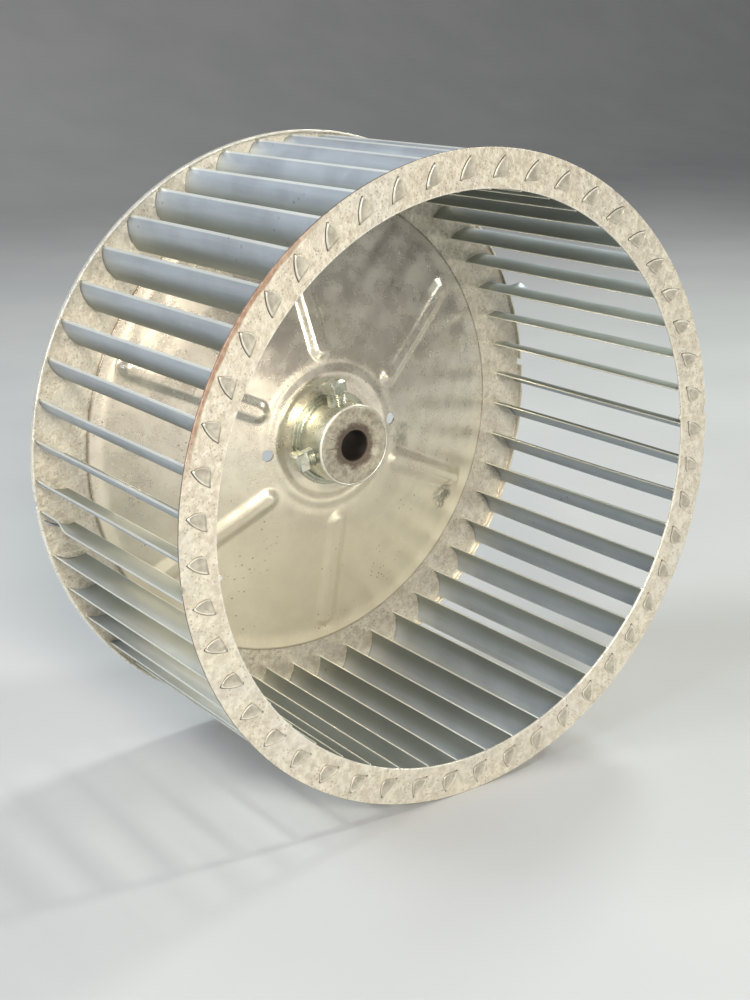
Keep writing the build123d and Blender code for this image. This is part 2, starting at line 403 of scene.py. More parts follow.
def add_tab(shell, angle, at_front, slack):
    """One crimped tab: up through the slot along the blade's curve and folded over on the outside."""
    start = angle_on_blade_curve(TAB_ROOT_RADIUS)
    end = angle_on_blade_curve(BLADE_TIP_RADIUS)
    rows = []
    for i in range(TAB_STEPS + 1):
        share = i / TAB_STEPS
        root_angle = start + (end - start) * share
        root = Vector(point_by_blade(BLADE_CURVE_RADIUS, root_angle))
        across = free_side(share) - root
        width = across.length * (1 - TAB_FOOT_NARROWING * max(0.0, 1 - share / TAB_FOOT_SHARE) ** 2)
        width = max(width + slack * math.sin(math.pi * share), TAB_LEAST_WIDTH)
        if share > TAB_TIP_SHARE:
            across = Vector(point_by_blade(BLADE_CURVE_RADIUS - 1, root_angle)) - root
        across.normalize()
        row = []
        for distance, rise in tab_profile(width, share):
            x, y = turned(root + across * distance, angle)
            row.append((x, y, RING_SPAN - RING_SHEET + rise if at_front else RING_SHEET - rise))
        rows.append(shell.add(row))
    shell.grid(rows, closed_columns=True)
    shell.faces.append(tuple(rows[0]))
    shell.faces.append(tuple(rows[-1]))


def make_blades(material):
    """Forty-eight blades, each with a tab through both rings."""
    for index in range(BLADE_COUNT):
        shell = Shell()
        add_blade_body(shell, index, rng.uniform(-0.12, 0.12), rng.uniform(-0.25, 0.25))
        for at_front in (True, False):
            add_tab(shell, blade_angle(index), at_front, rng.uniform(-0.3, 0.3))
        name = f"blade_{index + 1:02d}"
        blade = shell.build(f"{name}_sheet", "wheel", [name], sharp_angle=50)
        blade.data.materials.append(material)


# ---- End rings ----


def flat_edge_rows():
    """Pairs of outside and inside (radius, height) points across the edge of the flat ring."""
    edge = RING_EDGE_ROUNDING
    start = WHEEL_RADIUS - NOTCH_DEPTH
    radii = [start + (NOTCH_DEPTH - edge) * i / 4 for i in range(5)]
    rows = [((radius, 0), (radius, RING_SHEET)) for radius in radii]
    rows.append(((WHEEL_RADIUS, edge), (WHEEL_RADIUS, RING_SHEET - edge)))
    return rows


def lip_rows():
    """The same for the lipped ring, from its flat round the bend to the lip's rim."""
    edge = RING_EDGE_ROUNDING
    bend_centre = WHEEL_RADIUS - RING_BEND_RADIUS
    inner_bend = RING_BEND_RADIUS - RING_SHEET
    rows = []
    for i in range(7):
        a = math.radians(15 * i)
        outer = (bend_centre + RING_BEND_RADIUS * math.sin(a), RING_BEND_RADIUS * (1 - math.cos(a)))
        inner = (bend_centre + inner_bend * math.sin(a), RING_BEND_RADIUS - inner_bend * math.cos(a))
        rows.append((outer, inner))
    low, high = RING_BEND_RADIUS, RING_LIP_HEIGHT
    for h in (low + 0.6 * (high - low), high - edge):
        rows.append(((WHEEL_RADIUS, h), (WHEEL_RADIUS - RING_SHEET, h)))
    rows.append(((WHEEL_RADIUS - edge, high), (WHEEL_RADIUS - RING_SHEET + edge, high)))
    return rows


def notch_half_angle(radius):
    """Half the angle that a notch takes out of a circle of this radius."""
    centre = WHEEL_RADIUS - NOTCH_DEPTH + NOTCH_RADIUS
    half_width = math.sqrt(max(0.0, NOTCH_RADIUS**2 - (radius - centre) ** 2))
    return math.degrees(half_width / radius)


def inner_outline(radius, nub_radius):
    """The ring's inner edge as one closed loop: a circle with two small half-round nubs."""
    half_angle = math.degrees(nub_radius / radius)
    span = 180 - 2 * half_angle
    points = []
    for nub_angle in (CLOCKING, CLOCKING + 180):
        for i in range(13):
            a = math.radians(-90 + 15 * i)
            sideways = math.degrees(nub_radius * math.sin(a) / radius)
            points.append(polar(radius - nub_radius * math.cos(a), nub_angle + sideways))
        for i in range(1, RING_COLUMNS):
            points.append(polar(radius, nub_angle + half_angle + span * i / RING_COLUMNS))
    return points


def ring_point(x, y, z, at_front):
    """A point of a ring, z rising from its outside face towards the blades; the ring is a little warped."""
    warp = waver(x, y, 0, 0.12, 0.012) + waver(x, y, 7, 0.05, 0.06)
    return x, y, (RING_SPAN - z if at_front else z) + warp


def add_outer_edge(shell, at_front):
    """The outer edge, one stretch from each notch to the other; returns its outside and inside loops."""
    pairs = flat_edge_rows() if at_front else lip_rows()
    loops = ([], [])
    for start in (CLOCKING, CLOCKING + 180):
        sides = ([], [])
        for pair in pairs:
            gap = notch_half_angle(pair[0][0])
            step = (180 - 2 * gap) / RING_COLUMNS
            angles = [start + gap + step * i for i in range(RING_COLUMNS + 1)]
            for rows, (radius, z) in zip(sides, pair):
                rows.append(shell.add([ring_point(*polar(radius, a), z, at_front) for a in angles]))
        outside, inside_rows = sides
        shell.grid(outside + inside_rows[::-1])
        for column in (0, -1):
            shell.grid([[row[column] for row in outside], [row[column] for row in inside_rows]])
        for loop, rows in zip(loops, sides):
            loop.extend(rows[0][:-1])
    return loops


def add_inner_edge(shell, inner_radius, at_front):
    """The rounded inner edge with its nubs; returns its outside and inside loops."""
    edge = RING_EDGE_ROUNDING
    wide = inner_outline(inner_radius + edge, NUB_RADIUS - edge)
    tight = inner_outline(inner_radius, NUB_RADIUS)
    levels = ((wide, 0), (tight, edge), (tight, RING_SHEET - edge), (wide, RING_SHEET))
    rows = [shell.add([ring_point(x, y, z, at_front) for x, y in outline]) for outline, z in levels]
    shell.grid(rows, closed_columns=True)
    return rows[0], rows[-1]


def add_slots(shell, at_front):
    """The walls of the slots for the tabs; returns the outside and inside loop of each."""
    width = BLADE_SHEET + 2 * SLOT_CLEARANCE
    convex, concave = band_sides(BLADE_TIP_RADIUS, TAB_ROOT_RADIUS, width, SLOT_STEPS, SLOT_CLEARANCE)
    slot_loop = convex + concave[::-1]
    slots = []
    for index in range(BLADE_COUNT):
        loop = [turned(p, blade_angle(index)) for p in slot_loop]
        walls = [shell.add([ring_point(x, y, z, at_front) for x, y in loop]) for z in (0, RING_SHEET)]
        shell.grid(walls, closed_columns=True)
        slots.append(walls)
    return slots


def make_ring(name, inner_radius, at_front, material):
    """A flat ring at the inlet or a lipped one at the back."""
    shell = Shell()
    outer_edge = add_outer_edge(shell, at_front)
    inner_edge = add_inner_edge(shell, inner_radius, at_front)
    slots = add_slots(shell, at_front)
    for side in (0, 1):
        fill_between(shell, [outer_edge[side], inner_edge[side]] + [slot[side] for slot in slots])
    ring = shell.build(f"{name}_sheet", "wheel", [name], sharp_angle=38)
    ring.data.materials.append(material)


def fill_between(shell, loops):
    """Fills the flat region inside the first loop and outside all the others."""
    numbers = [n for loop in loops for n in loop]
    flat = [Vector(shell.points[n][:2]) for n in numbers]
    edges = []
    first = 0
    for loop in loops:
        edges += [(first + i, first + (i + 1) % len(loop)) for i in range(len(loop))]
        first += len(loop)
    points, _, triangles, _, _, _ = geometry.delaunay_2d_cdt(flat, edges, [], 0, 1e-7)
    holes = [[Vector(shell.points[n][:2]) for n in loop] for loop in loops[1:]]
    boxes = [loop_box(hole) for hole in holes]
    for triangle in triangles:
        middle = sum((points[i] for i in triangle), Vector((0, 0))) / 3
        in_hole = any(in_box(middle, box) and in_loop(middle, hole) for box, hole in zip(boxes, holes))
        if not in_hole:
            shell.faces.append(tuple(numbers[i] for i in triangle))


def loop_box(loop):
    """Least and greatest x and y of a closed loop."""
    xs = [p.x for p in loop]
    ys = [p.y for p in loop]
    return min(xs), max(xs), min(ys), max(ys)


def in_box(point, box):
    return box[0] <= point.x <= box[1] and box[2] <= point.y <= box[3]


def in_loop(point, loop):
    """True if the point is inside the closed loop."""
    hit = False
    for i, a in enumerate(loop):
        b = loop[i - 1]
        if (a.y > point.y) != (b.y > point.y):
            if point.x < (b.x - a.x) * (point.y - a.y) / (b.y - a.y) + a.x:
                hit = not hit
    return hit


# ---- Centre disc ----


def disc_base_height(radius):
    """Front face of the dish without ribs or bead: flat rim, cone and flat middle, with soft bends."""
    rim = RING_SHEET + DISC_SHEET
    slope = (DISC_MIDDLE_HEIGHT - rim) / (DISC_CONE_OUTER - DISC_CONE_INNER)

    def soft_ramp(x):
        return 0.5 * (x + math.sqrt(x * x + DISC_BEND_SOFTNESS * DISC_BEND_SOFTNESS))

    rise = soft_ramp(DISC_CONE_OUTER - radius) - soft_ramp(DISC_CONE_INNER - radius)
    return rim + slope * rise


def rib_rise(x, y):
    """Height of the six pressed ribs at a point of the disc."""
    radius = math.hypot(x, y)
    angle = math.degrees(math.atan2(y, x))
    pitch = 360 / RIB_COUNT
    off = (angle - RIB_FIRST_ANGLE + pitch / 2) % pitch - pitch / 2
    along = radius * math.cos(math.radians(off))
    across = radius * math.sin(math.radians(off))
    beyond = max(RIB_INNER_RADIUS - along, along - RIB_OUTER_RADIUS, 0)
    distance = math.hypot(beyond, across) / RIB_HALF_WIDTH
    return RIB_HEIGHT * (1 - smoothstep(0.25, 1.08, distance))


def bead_rise(radius):
    """Height of the round bead that stiffens the middle."""
    distance = abs(radius - BEAD_RADIUS) / BEAD_HALF_WIDTH
    return BEAD_HEIGHT * (1 - smoothstep(0.0, 1.0, distance))


def disc_warp(x, y):
    """Unevenness that pressing leaves between the ribs."""
    radius = math.hypot(x, y)
    fade = smoothstep(DISC_CONE_INNER - 12, DISC_CONE_INNER + 8, radius)
    fade *= 1 - smoothstep(DISC_CONE_OUTER - 6, DISC_CONE_OUTER, radius)
    return fade * (waver(x, y, 3, 0.35, 0.035) + waver(x, y, 9, 0.08, 0.13))


def make_disc(material):
    """The dished back plate, with its ribs, bead, rim and two small holes."""
    shell = Shell()
    edge = DISC_EDGE_ROUNDING
    span = DISC_EDGE_RADIUS - edge - DISC_BORE_RADIUS
    angles = [360 * i / DISC_COLUMNS for i in range(DISC_COLUMNS)]
    front_rows = []
    rear_rows = []
    for i in range(DISC_ROWS + 1):
        radius = DISC_BORE_RADIUS + span * i / DISC_ROWS
        base = disc_base_height(radius) + bead_rise(radius)
        front = []
        rear = []
        for angle in angles:
            x, y = polar(radius, angle)
            h = base + rib_rise(x, y) + disc_warp(x, y)
            front.append((x, y, h))
            rear.append((x, y, h - DISC_SHEET))
        front_rows.append(shell.add(front))
        rear_rows.append(shell.add(rear))
    rim_height = disc_base_height(DISC_EDGE_RADIUS)
    rim_levels = (rim_height - edge, rim_height - DISC_SHEET + edge)
    rim = [shell.add([(*polar(DISC_EDGE_RADIUS, a), h) for a in angles]) for h in rim_levels]
    shell.grid(front_rows + rim + rear_rows[::-1], closed_rows=True, closed_columns=True)
    disc = shell.build("centre_disc_pressing", "wheel", ["centre_disc"], sharp_angle=45)
    cutters = []
    for angle in (CLOCKING, CLOCKING + 180):
        centre = place(*polar(DISC_HOLE_CIRCLE_RADIUS, angle), DISC_MIDDLE_HEIGHT)
        cutters.append(drill("hole_cutter", centre, (0, 1, 0), DISC_HOLE_RADIUS, 8 * DISC_SHEET))
    cut_away(disc, cutters)
    disc.data.materials.append(material)


def drill(name, centre, axis, radius, length):
    """A plain cylinder used only to cut a hole, then removed."""
    bm = bmesh.new()
    radius_m = radius * MM
    bmesh.ops.create_cone(
        bm, cap_ends=True, segments=64, radius1=radius_m, radius2=radius_m, depth=length * MM
    )
    turn = Vector((0, 0, 1)).rotation_difference(Vector(axis))
    bmesh.ops.rotate(bm, verts=bm.verts, cent=(0, 0, 0), matrix=turn.to_matrix())
    bmesh.ops.translate(bm, verts=bm.verts, vec=centre)
    mesh = bpy.data.meshes.new(name)
    bm.to_mesh(mesh)
    bm.free()
    cutter = bpy.data.objects.new(name, mesh)
    bpy.context.scene.collection.objects.link(cutter)
    return cutter


# ---- Hub ----


def arc_points(centre, radius, start, end):
    """Points of an arc in a (radius, height) outline."""
    angles = [start + (end - start) * i / ARC_STEPS for i in range(ARC_STEPS + 1)]
    return [(centre[0] + polar(radius, a)[0], centre[1] + polar(radius, a)[1]) for a in angles]


def hub_outline():
    """Half section of the hub as (radius, height) points, from the bore's rear round to its front."""
    front = HUB_FACE_HEIGHT
    rear = HUB_REAR_HEIGHT
    disc_front = DISC_MIDDLE_HEIGHT
    disc_rear = disc_front - DISC_SHEET
    spigot = DISC_BORE_RADIUS - HUB_SPIGOT_GAP

    # Staked rear end and the spigot in the disc's bore
    stake = HUB_STAKE_ROUNDING
    outline = [(HUB_BORE_RADIUS, rear + HUB_BORE_CHAMFER), (HUB_BORE_RADIUS + HUB_BORE_CHAMFER, rear)]
    outline += arc_points((HUB_STAKE_RADIUS - stake, rear + stake), stake, -90, 0)
    outline += [(HUB_STAKE_RADIUS, disc_rear), (spigot, disc_rear), (spigot, disc_front)]

    # Stepped collar in front of the disc
    rounding = HUB_COLLAR_ROUNDING
    collar_top = disc_front + HUB_COLLAR_HEIGHT
    step_top = collar_top - HUB_COLLAR_STEP_DEPTH
    step_radius = HUB_COLLAR_RADIUS - HUB_COLLAR_STEP_WIDTH
    outline += [(HUB_COLLAR_RADIUS, disc_front)]
    outline += arc_points((HUB_COLLAR_RADIUS - rounding, step_top - rounding), rounding, 0, 90)
    outline += [(step_radius, step_top)]
    outline += arc_points((step_radius - rounding, collar_top - rounding), rounding, 0, 90)

    # Barrel, front edge and the shallow groove turned inside it
    outline += arc_points((HUB_RADIUS + HUB_FILLET, collar_top + HUB_FILLET), HUB_FILLET, 270, 180)
    outline += arc_points((HUB_RADIUS - HUB_ROUNDING, front - HUB_ROUNDING), HUB_ROUNDING, 0, 90)
    groove = front - HUB_GROOVE_DEPTH
    outline += [(HUB_RADIUS - 0.95, groove), (HUB_RADIUS - 1.2, groove), (HUB_RADIUS - 1.35, front)]

    # Worn mouth of the bore
    outline += [(HUB_BORE_RADIUS + 0.7, front), (HUB_BORE_RADIUS + 0.3, front - 0.15)]
    outline += [(HUB_BORE_RADIUS, front - 0.7)]
    return outline


def make_hub(material):
    """The turned hub with its two tapped holes."""
    shell = Shell()
    lathe(shell, hub_outline(), HUB_SEGMENTS)
    hub = shell.build("hub_turning", "wheel", ["hub"], HUB_SHARP_ANGLE)
    cutters = []
    for screw in SCREWS.values():
        centre = place(*polar(HUB_RADIUS / 2 + 4, screw["angle"]), SCREW_HEIGHT)
        axis = (place(*polar(1, screw["angle"]), 0) - place(0, 0, 0)).normalized()
        cutters.append(drill("tap_cutter", centre, axis, SCREW_HOLE_RADIUS, HUB_RADIUS + 8))
    cut_away(hub, cutters)
    hub.data.set_sharp_from_angle(angle=math.radians(HUB_SHARP_ANGLE))
    hub.data.materials.append(material)


# ---- Set screws ----


def thread_radius(turns):
    """Radius of the thread's flank, for a distance along the thread in turns."""
    phase = turns % 1.0
    flank = abs(2 * phase - 1)
    return SCREW_THREAD_RADIUS - SCREW_THREAD_DEPTH * smoothstep(0.08, 0.92, flank)


def add_threaded_shank(shell, carry):
    """A cup point, then a thread that runs out under the head."""
    length = SCREW_SHANK_LENGTH
    row_count = int(length / SCREW_THREAD_PITCH * SCREW_ROWS_PER_TURN)
    angles = [360 * j / SCREW_COLUMNS for j in range(SCREW_COLUMNS)]
    rows = [shell.add([carry(0, 0, SCREW_CUP_DEPTH)] * SCREW_COLUMNS)]
    rows.append(shell.add([carry(*polar(SCREW_CUP_RADIUS * 0.9, a), 0.05) for a in angles]))
    for i in range(row_count + 1):
        z = length * i / row_count
        point = SCREW_POINT_RADIUS + z * SCREW_POINT_SLOPE
        runout = SCREW_THREAD_RADIUS - SCREW_THREAD_DEPTH * smoothstep(length - 0.7, length - 0.2, z)
        row = []
        for a in angles:
            radius = min(thread_radius(z / SCREW_THREAD_PITCH - a / 360), point, runout)
            row.append(carry(*polar(radius, a), z))
        rows.append(shell.add(row))
    rows.append(shell.add([carry(0, 0, length + 0.5)] * SCREW_COLUMNS))
    shell.grid(rows, closed_columns=True)


def head_section(half, corner):
    """A square with rounded corners, as a closed loop."""
    points = []
    for quarter in range(4):
        cx, cy = turned((half - corner, half - corner), 90 * quarter)
        for i in range(ARC_STEPS + 1):
            x, y = polar(corner, 90 * quarter + 90 * i / ARC_STEPS)
            points.append((cx + x, cy + y))
    return points


def add_square_head(shell, carry):
    """A square head with a slightly crowned, chamfered top."""
    half = SCREW_HEAD_WIDTH / 2
    base = SCREW_SHANK_LENGTH
    top = base + SCREW_HEAD_HEIGHT
    section = head_section(half, SCREW_HEAD_CORNER)
    levels = [base + 0.15, base + 0.6] + [top - 1.6 + 0.2 * i for i in range(9)]
    crown = ((0.93, top - 0.02), (0.6, top), (0.3, top))

    def outline(z, shrink):
        """The section at a height, with its corners cut back by the chamfer."""
        chamfer = max(0.0, z - (top - SCREW_CHAMFER_HEIGHT)) * SCREW_CHAMFER_SLOPE
        limit = half * SCREW_HEAD_REACH - chamfer
        scales = [min(1.0, limit / math.hypot(x, y)) * shrink for x, y in section]
        return [(x * scale, y * scale) for (x, y), scale in zip(section, scales)]

    rows = [shell.add([carry(0, 0, base)] * len(section))]
    rows.append(shell.add([carry(x * 0.96, y * 0.96, base) for x, y in section]))
    for z in levels:
        rows.append(shell.add([carry(x, y, z) for x, y in outline(z, 1.0)]))
    for shrink, z in crown:
        rows.append(shell.add([carry(x, y, z) for x, y in outline(top, shrink)]))
    rows.append(shell.add([carry(0, 0, top)] * len(section)))
    shell.grid(rows, closed_columns=True)


def make_screw(body, screw, material):
    """A square-head cup-point set screw, drawn with its tip at the origin and carried to its hole."""
    out_x, out_y = polar(1, screw["angle"])
    side_x, side_y = polar(1, screw["angle"] + 90)

    def carry(x, y, z):
        """A point of the upright screw in wheel space."""
        x, y = turned((x, y), screw["roll"])
        reach = screw["tip_radius"] + z
        return out_x * reach + side_x * y, out_y * reach + side_y * y, SCREW_HEIGHT - x

    shell = Shell()
    add_threaded_shank(shell, carry)
    add_square_head(shell, carry)
    piece = shell.build(f"{screw['node']}_threaded", body, [screw["node"]], 35)
    piece.data.materials.append(material)
    return piece


# ---- Materials ----


class Graph:
    """Short names for the shader nodes that the materials share."""

    def __init__(self, name):
        self.material = bpy.data.materials.new(name)
        self.material.use_nodes = True
        self.tree = self.material.node_tree
        self.tree.nodes.clear()
        self.output = self.tree.nodes.new("ShaderNodeOutputMaterial")
        self.shader = self.tree.nodes.new("ShaderNodeBsdfPrincipled")
        self.link(self.shader.outputs[0], self.output.inputs["Surface"])
        coordinates = self.tree.nodes.new("ShaderNodeTexCoord")
        self.position = coordinates.outputs["Object"]

    def link(self, source, target):
        self.tree.links.new(source, target)

    def feed(self, socket, value):
        """Gives a socket a link or a plain value."""
        if isinstance(value, bpy.types.NodeSocket):
            self.link(value, socket)
        else:
            socket.default_value = value

    def math(self, operation, a, b=0.0):
        node = self.tree.nodes.new("ShaderNodeMath")
        node.operation = operation
        self.feed(node.inputs[0], a)
        self.feed(node.inputs[1], b)
        return node.outputs[0]

    def times(self, a, b):
        return self.math("MULTIPLY", a, b)

    def plus(self, a, b):
        return self.math("ADD", a, b)

    def minus(self, a, b):
        return self.math("SUBTRACT", a, b)

    def larger(self, a, b):
        return self.math("MAXIMUM", a, b)

    def stretched(self, scale):
        node = self.tree.nodes.new("ShaderNodeMapping")
        self.link(self.position, node.inputs["Vector"])
        node.inputs["Scale"].default_value = scale
        return node.outputs[0]

    def noise(self, scale, detail=3.0, roughness=0.55, distortion=0.0, position=None):
        node = self.tree.nodes.new("ShaderNodeTexNoise")
        self.link(position or self.position, node.inputs["Vector"])
        node.inputs["Scale"].default_value = scale
        node.inputs["Detail"].default_value = detail
        node.inputs["Roughness"].default_value = roughness
        node.inputs["Distortion"].default_value = distortion
        return node.outputs["Fac"]

    def cells(self, scale):
        """Distance to the middle of the nearest of many scattered cells."""
        node = self.tree.nodes.new("ShaderNodeTexVoronoi")
        self.link(self.position, node.inputs["Vector"])
        node.inputs["Scale"].default_value = scale
        return node.outputs["Distance"]

    def between(self, value, low, high, to_low=0.0, to_high=1.0):
        """Maps low..high to to_low..to_high, smoothly and clamped."""
        node = self.tree.nodes.new("ShaderNodeMapRange")
        node.interpolation_type = "SMOOTHSTEP"
        self.link(value, node.inputs["Value"])
        node.inputs["From Min"].default_value = low
        node.inputs["From Max"].default_value = high
        node.inputs["To Min"].default_value = to_low
        node.inputs["To Max"].default_value = to_high
        return node.outputs["Result"]

    def mix(self, factor, a, b):
        """Blends two colours; 6, 7 and output 2 are the node's colour sockets."""
        node = self.tree.nodes.new("ShaderNodeMix")
        node.data_type = "RGBA"
        self.feed(node.inputs[0], factor)
        self.feed(node.inputs[6], (*a, 1) if isinstance(a, tuple) else a)
        self.feed(node.inputs[7], (*b, 1) if isinstance(b, tuple) else b)
        return node.outputs[2]

    def tint(self, color, mask, strength, tone):
        """Lays a tone over the masked part of a colour."""
        return self.mix(self.times(mask, strength), color, tone)

    def xyz(self):
        node = self.tree.nodes.new("ShaderNodeSeparateXYZ")
        self.link(self.position, node.inputs[0])
        return node.outputs

    def shaft_radius(self):
        """Distance from the shaft axis, in metres."""
        x, _, z = self.xyz()
        squares = self.plus(self.times(x, x), self.times(z, z))
        return self.math("SQRT", squares)

    def shaft_angle(self):
        """Angle round the shaft, in degrees from +X towards +Z."""
        x, _, z = self.xyz()
        return self.times(self.math("ARCTAN2", z, x), 180 / math.pi)

    def around_shaft(self, repeats):
        """A position that varies quickly with the angle round the shaft and slowly with the radius."""
        node = self.tree.nodes.new("ShaderNodeCombineXYZ")
        self.feed(node.inputs[0], self.times(self.shaft_angle(), repeats / 360))
        self.feed(node.inputs[1], self.times(self.shaft_radius(), 4.0))
        return node.outputs[0]

    def bump(self, height, strength, distance):
        node = self.tree.nodes.new("ShaderNodeBump")
        node.inputs["Strength"].default_value = strength
        node.inputs["Distance"].default_value = distance
        self.link(height, node.inputs["Height"])
        self.link(node.outputs[0], self.shader.inputs["Normal"])

    def finish(self, color, roughness, metallic):
        """Feeds the shader and returns the finished material."""
        self.feed(self.shader.inputs["Base Color"], color)
        self.feed(self.shader.inputs["Roughness"], roughness)
        self.feed(self.shader.inputs["Metallic"], metallic)
        return self.material


def speckles(graph, scale, size, cover):
    """Small dark pits: 1 in a pit and 0 elsewhere, thinned out by a broader noise."""
    pits = graph.between(graph.cells(scale), size, size * 0.45)
    patches = graph.between(graph.noise(scale * 0.12, 2.0), 1 - cover, 1 - cover + 0.12)
    return graph.times(pits, patches)


def spot(graph, radius, angle, size):
    """A stain centred at a place on the wheel: 1 inside and 0 outside, with a ragged edge."""
    x, _, z = graph.xyz()
    centre = polar(radius * MM, angle)
    dx = graph.minus(x, centre[0])
    dz = graph.minus(z, centre[1])
    squares = graph.plus(graph.times(dx, dx), graph.times(dz, dz))
    wander = graph.times(graph.minus(graph.noise(210, 4, 0.65), 0.5), 0.012)
    distance = graph.plus(graph.math("SQRT", squares), wander)
    return graph.between(distance, size * MM, size * MM * 0.35)


def ring_material():
    """Warm, matt, mottled galvanising: bright worn edges, a painted highlight on the back ring's lip bend,
    painted shade on the front ring's cut edge, and rust along part of the front ring's rim.
    """
    g = Graph("galvanised_ring")
    rim = WHEEL_RADIUS * MM
    inlet = FRONT_RING_INNER_RADIUS * MM
    mottle = g.noise(360, 5, 0.7)
    blotch = g.noise(30, 4, 0.6, 0.4)
    color = g.mix(g.between(mottle, 0.36, 0.64), (0.62, 0.56, 0.45), (0.80, 0.75, 0.63))
    color = g.mix(g.between(blotch, 0.45, 0.7, 0, 0.45), color, (0.66, 0.65, 0.60))
    color = g.tint(color, speckles(g, 700, 0.34, 0.6), 0.5, (0.26, 0.22, 0.17))

    # Brown dirt on the back ring
    angle = g.shaft_angle()
    radius = g.shaft_radius()
    _, y, _ = g.xyz()
    front = g.between(y, 0.0, -0.01)
    back = g.between(y, 0.0, 0.01)
    dirt = g.times(back, g.between(g.noise(60, 4, 0.7), 0.46, 0.7))
    color = g.tint(color, dirt, 0.35, (0.40, 0.345, 0.27))

    # Bright wear on the inlet's edge and a painted highlight on the lip's bend; the front ring's cut edge is
    # dark, partly bare edge and partly painted shade of the gap behind it
    wear_and_highlight = g.times(front, g.between(radius, inlet + 0.0008, inlet + 0.0002))
    wear_and_highlight = g.larger(wear_and_highlight, g.times(back, g.between(radius, rim - 0.0012, rim - 0.0006)))
    wear_and_highlight = g.times(wear_and_highlight, g.between(g.noise(150, 4), 0.35, 0.6, 0.4, 1.0))
    # Painted highlight on the back ring's lip bend, and wear on the inlet's edge, brighten the colour here.
    color = g.tint(color, wear_and_highlight, 0.7, (0.88, 0.86, 0.78))
    # The front ring's outermost edge is darkened: partly its raw cut edge, partly painted shade of the gap
    # behind it.
    cut_edge_and_shade = g.times(front, g.between(radius, rim - 0.00010, rim - 0.00004))
    color = g.tint(color, cut_edge_and_shade, 0.85, (0.16, 0.12, 0.095))

    # Rust along part of the front rim, fading at both ends
    stretch = g.times(g.between(angle, 118, 134), g.between(angle, 174, 158))
    ragged = g.plus(radius, g.times(g.noise(120, 4), 0.0022))
    rust = g.times(g.times(stretch, front), g.between(ragged, rim - 0.0009, rim - 0.0002))
    rust_tone = g.mix(g.between(g.noise(300, 3), 0.4, 0.6), (0.34, 0.19, 0.12), (0.46, 0.31, 0.22))
    color = g.tint(color, rust, 0.85, rust_tone)
    roughness = g.minus(g.between(mottle, 0.3, 0.7, 0.34, 0.50), g.times(wear_and_highlight, 0.1))
    g.bump(g.plus(g.noise(420, 4, 0.6), g.times(blotch, 0.6)), 0.7, 0.0006)
    return g.finish(color, roughness, 0.6)


def disc_material():
    """Semi-gloss galvanising with a fine pitted grain, oily stains and a dustier lower half whose brighter
    colour is painted light.
    """
    g = Graph("galvanised_disc")
    grain = g.noise(620, 4, 0.7)
    mottle = g.noise(85, 5, 0.6)
    blotch = g.noise(16, 3, 0.5, 0.6)
    color = g.mix(g.between(mottle, 0.35, 0.65), (0.66, 0.60, 0.50), (0.80, 0.745, 0.63))
    color = g.mix(g.between(blotch, 0.5, 0.72, 0, 0.5), color, (0.60, 0.53, 0.46))
    color = g.mix(g.between(grain, 0.56, 0.72, 0, 0.5), color, (0.36, 0.31, 0.24))
    _, _, z = g.xyz()
    # Painted light: brighter and warmer towards the bottom, where the key lamp falls; the same mask also
    # makes the lower half rougher and less metallic, as dust does.
    lower_light_and_dust = g.between(z, 0.02, -0.06)
    color = g.tint(color, lower_light_and_dust, 0.7, (0.90, 0.82, 0.60))
    pits = speckles(g, 330, 0.2, 0.45)
    color = g.tint(color, pits, 0.6, (0.14, 0.11, 0.08))

    # Oily stains, and painted shade along the disc's edge where it meets the ring
    stains = g.larger(spot(g, 88, -30, 9), g.times(spot(g, 40, -8, 8), 0.6))
    stains = g.larger(stains, g.times(spot(g, 74, 52, 5), 0.5))
    stains = g.times(stains, g.between(g.noise(300, 4, 0.7), 0.35, 0.6))
    color = g.tint(color, stains, 0.8, (0.15, 0.14, 0.10))
    # Painted shade: a dark band on the disc's outermost millimetre, by the ring.
    seam_shade = g.between(g.shaft_radius(), 0.1016, 0.1027)
    color = g.tint(color, seam_shade, 0.55, (0.25, 0.2, 0.15))
    roughness = g.plus(g.between(mottle, 0.3, 0.7, 0.24, 0.31), g.times(pits, 0.3))
    roughness = g.plus(roughness, g.times(lower_light_and_dust, 0.05))
    metallic = g.minus(0.85, g.times(lower_light_and_dust, 0.35))
    g.bump(g.plus(g.times(mottle, 0.4), grain), 0.35, 0.00025)
    return g.finish(color, roughness, metallic)


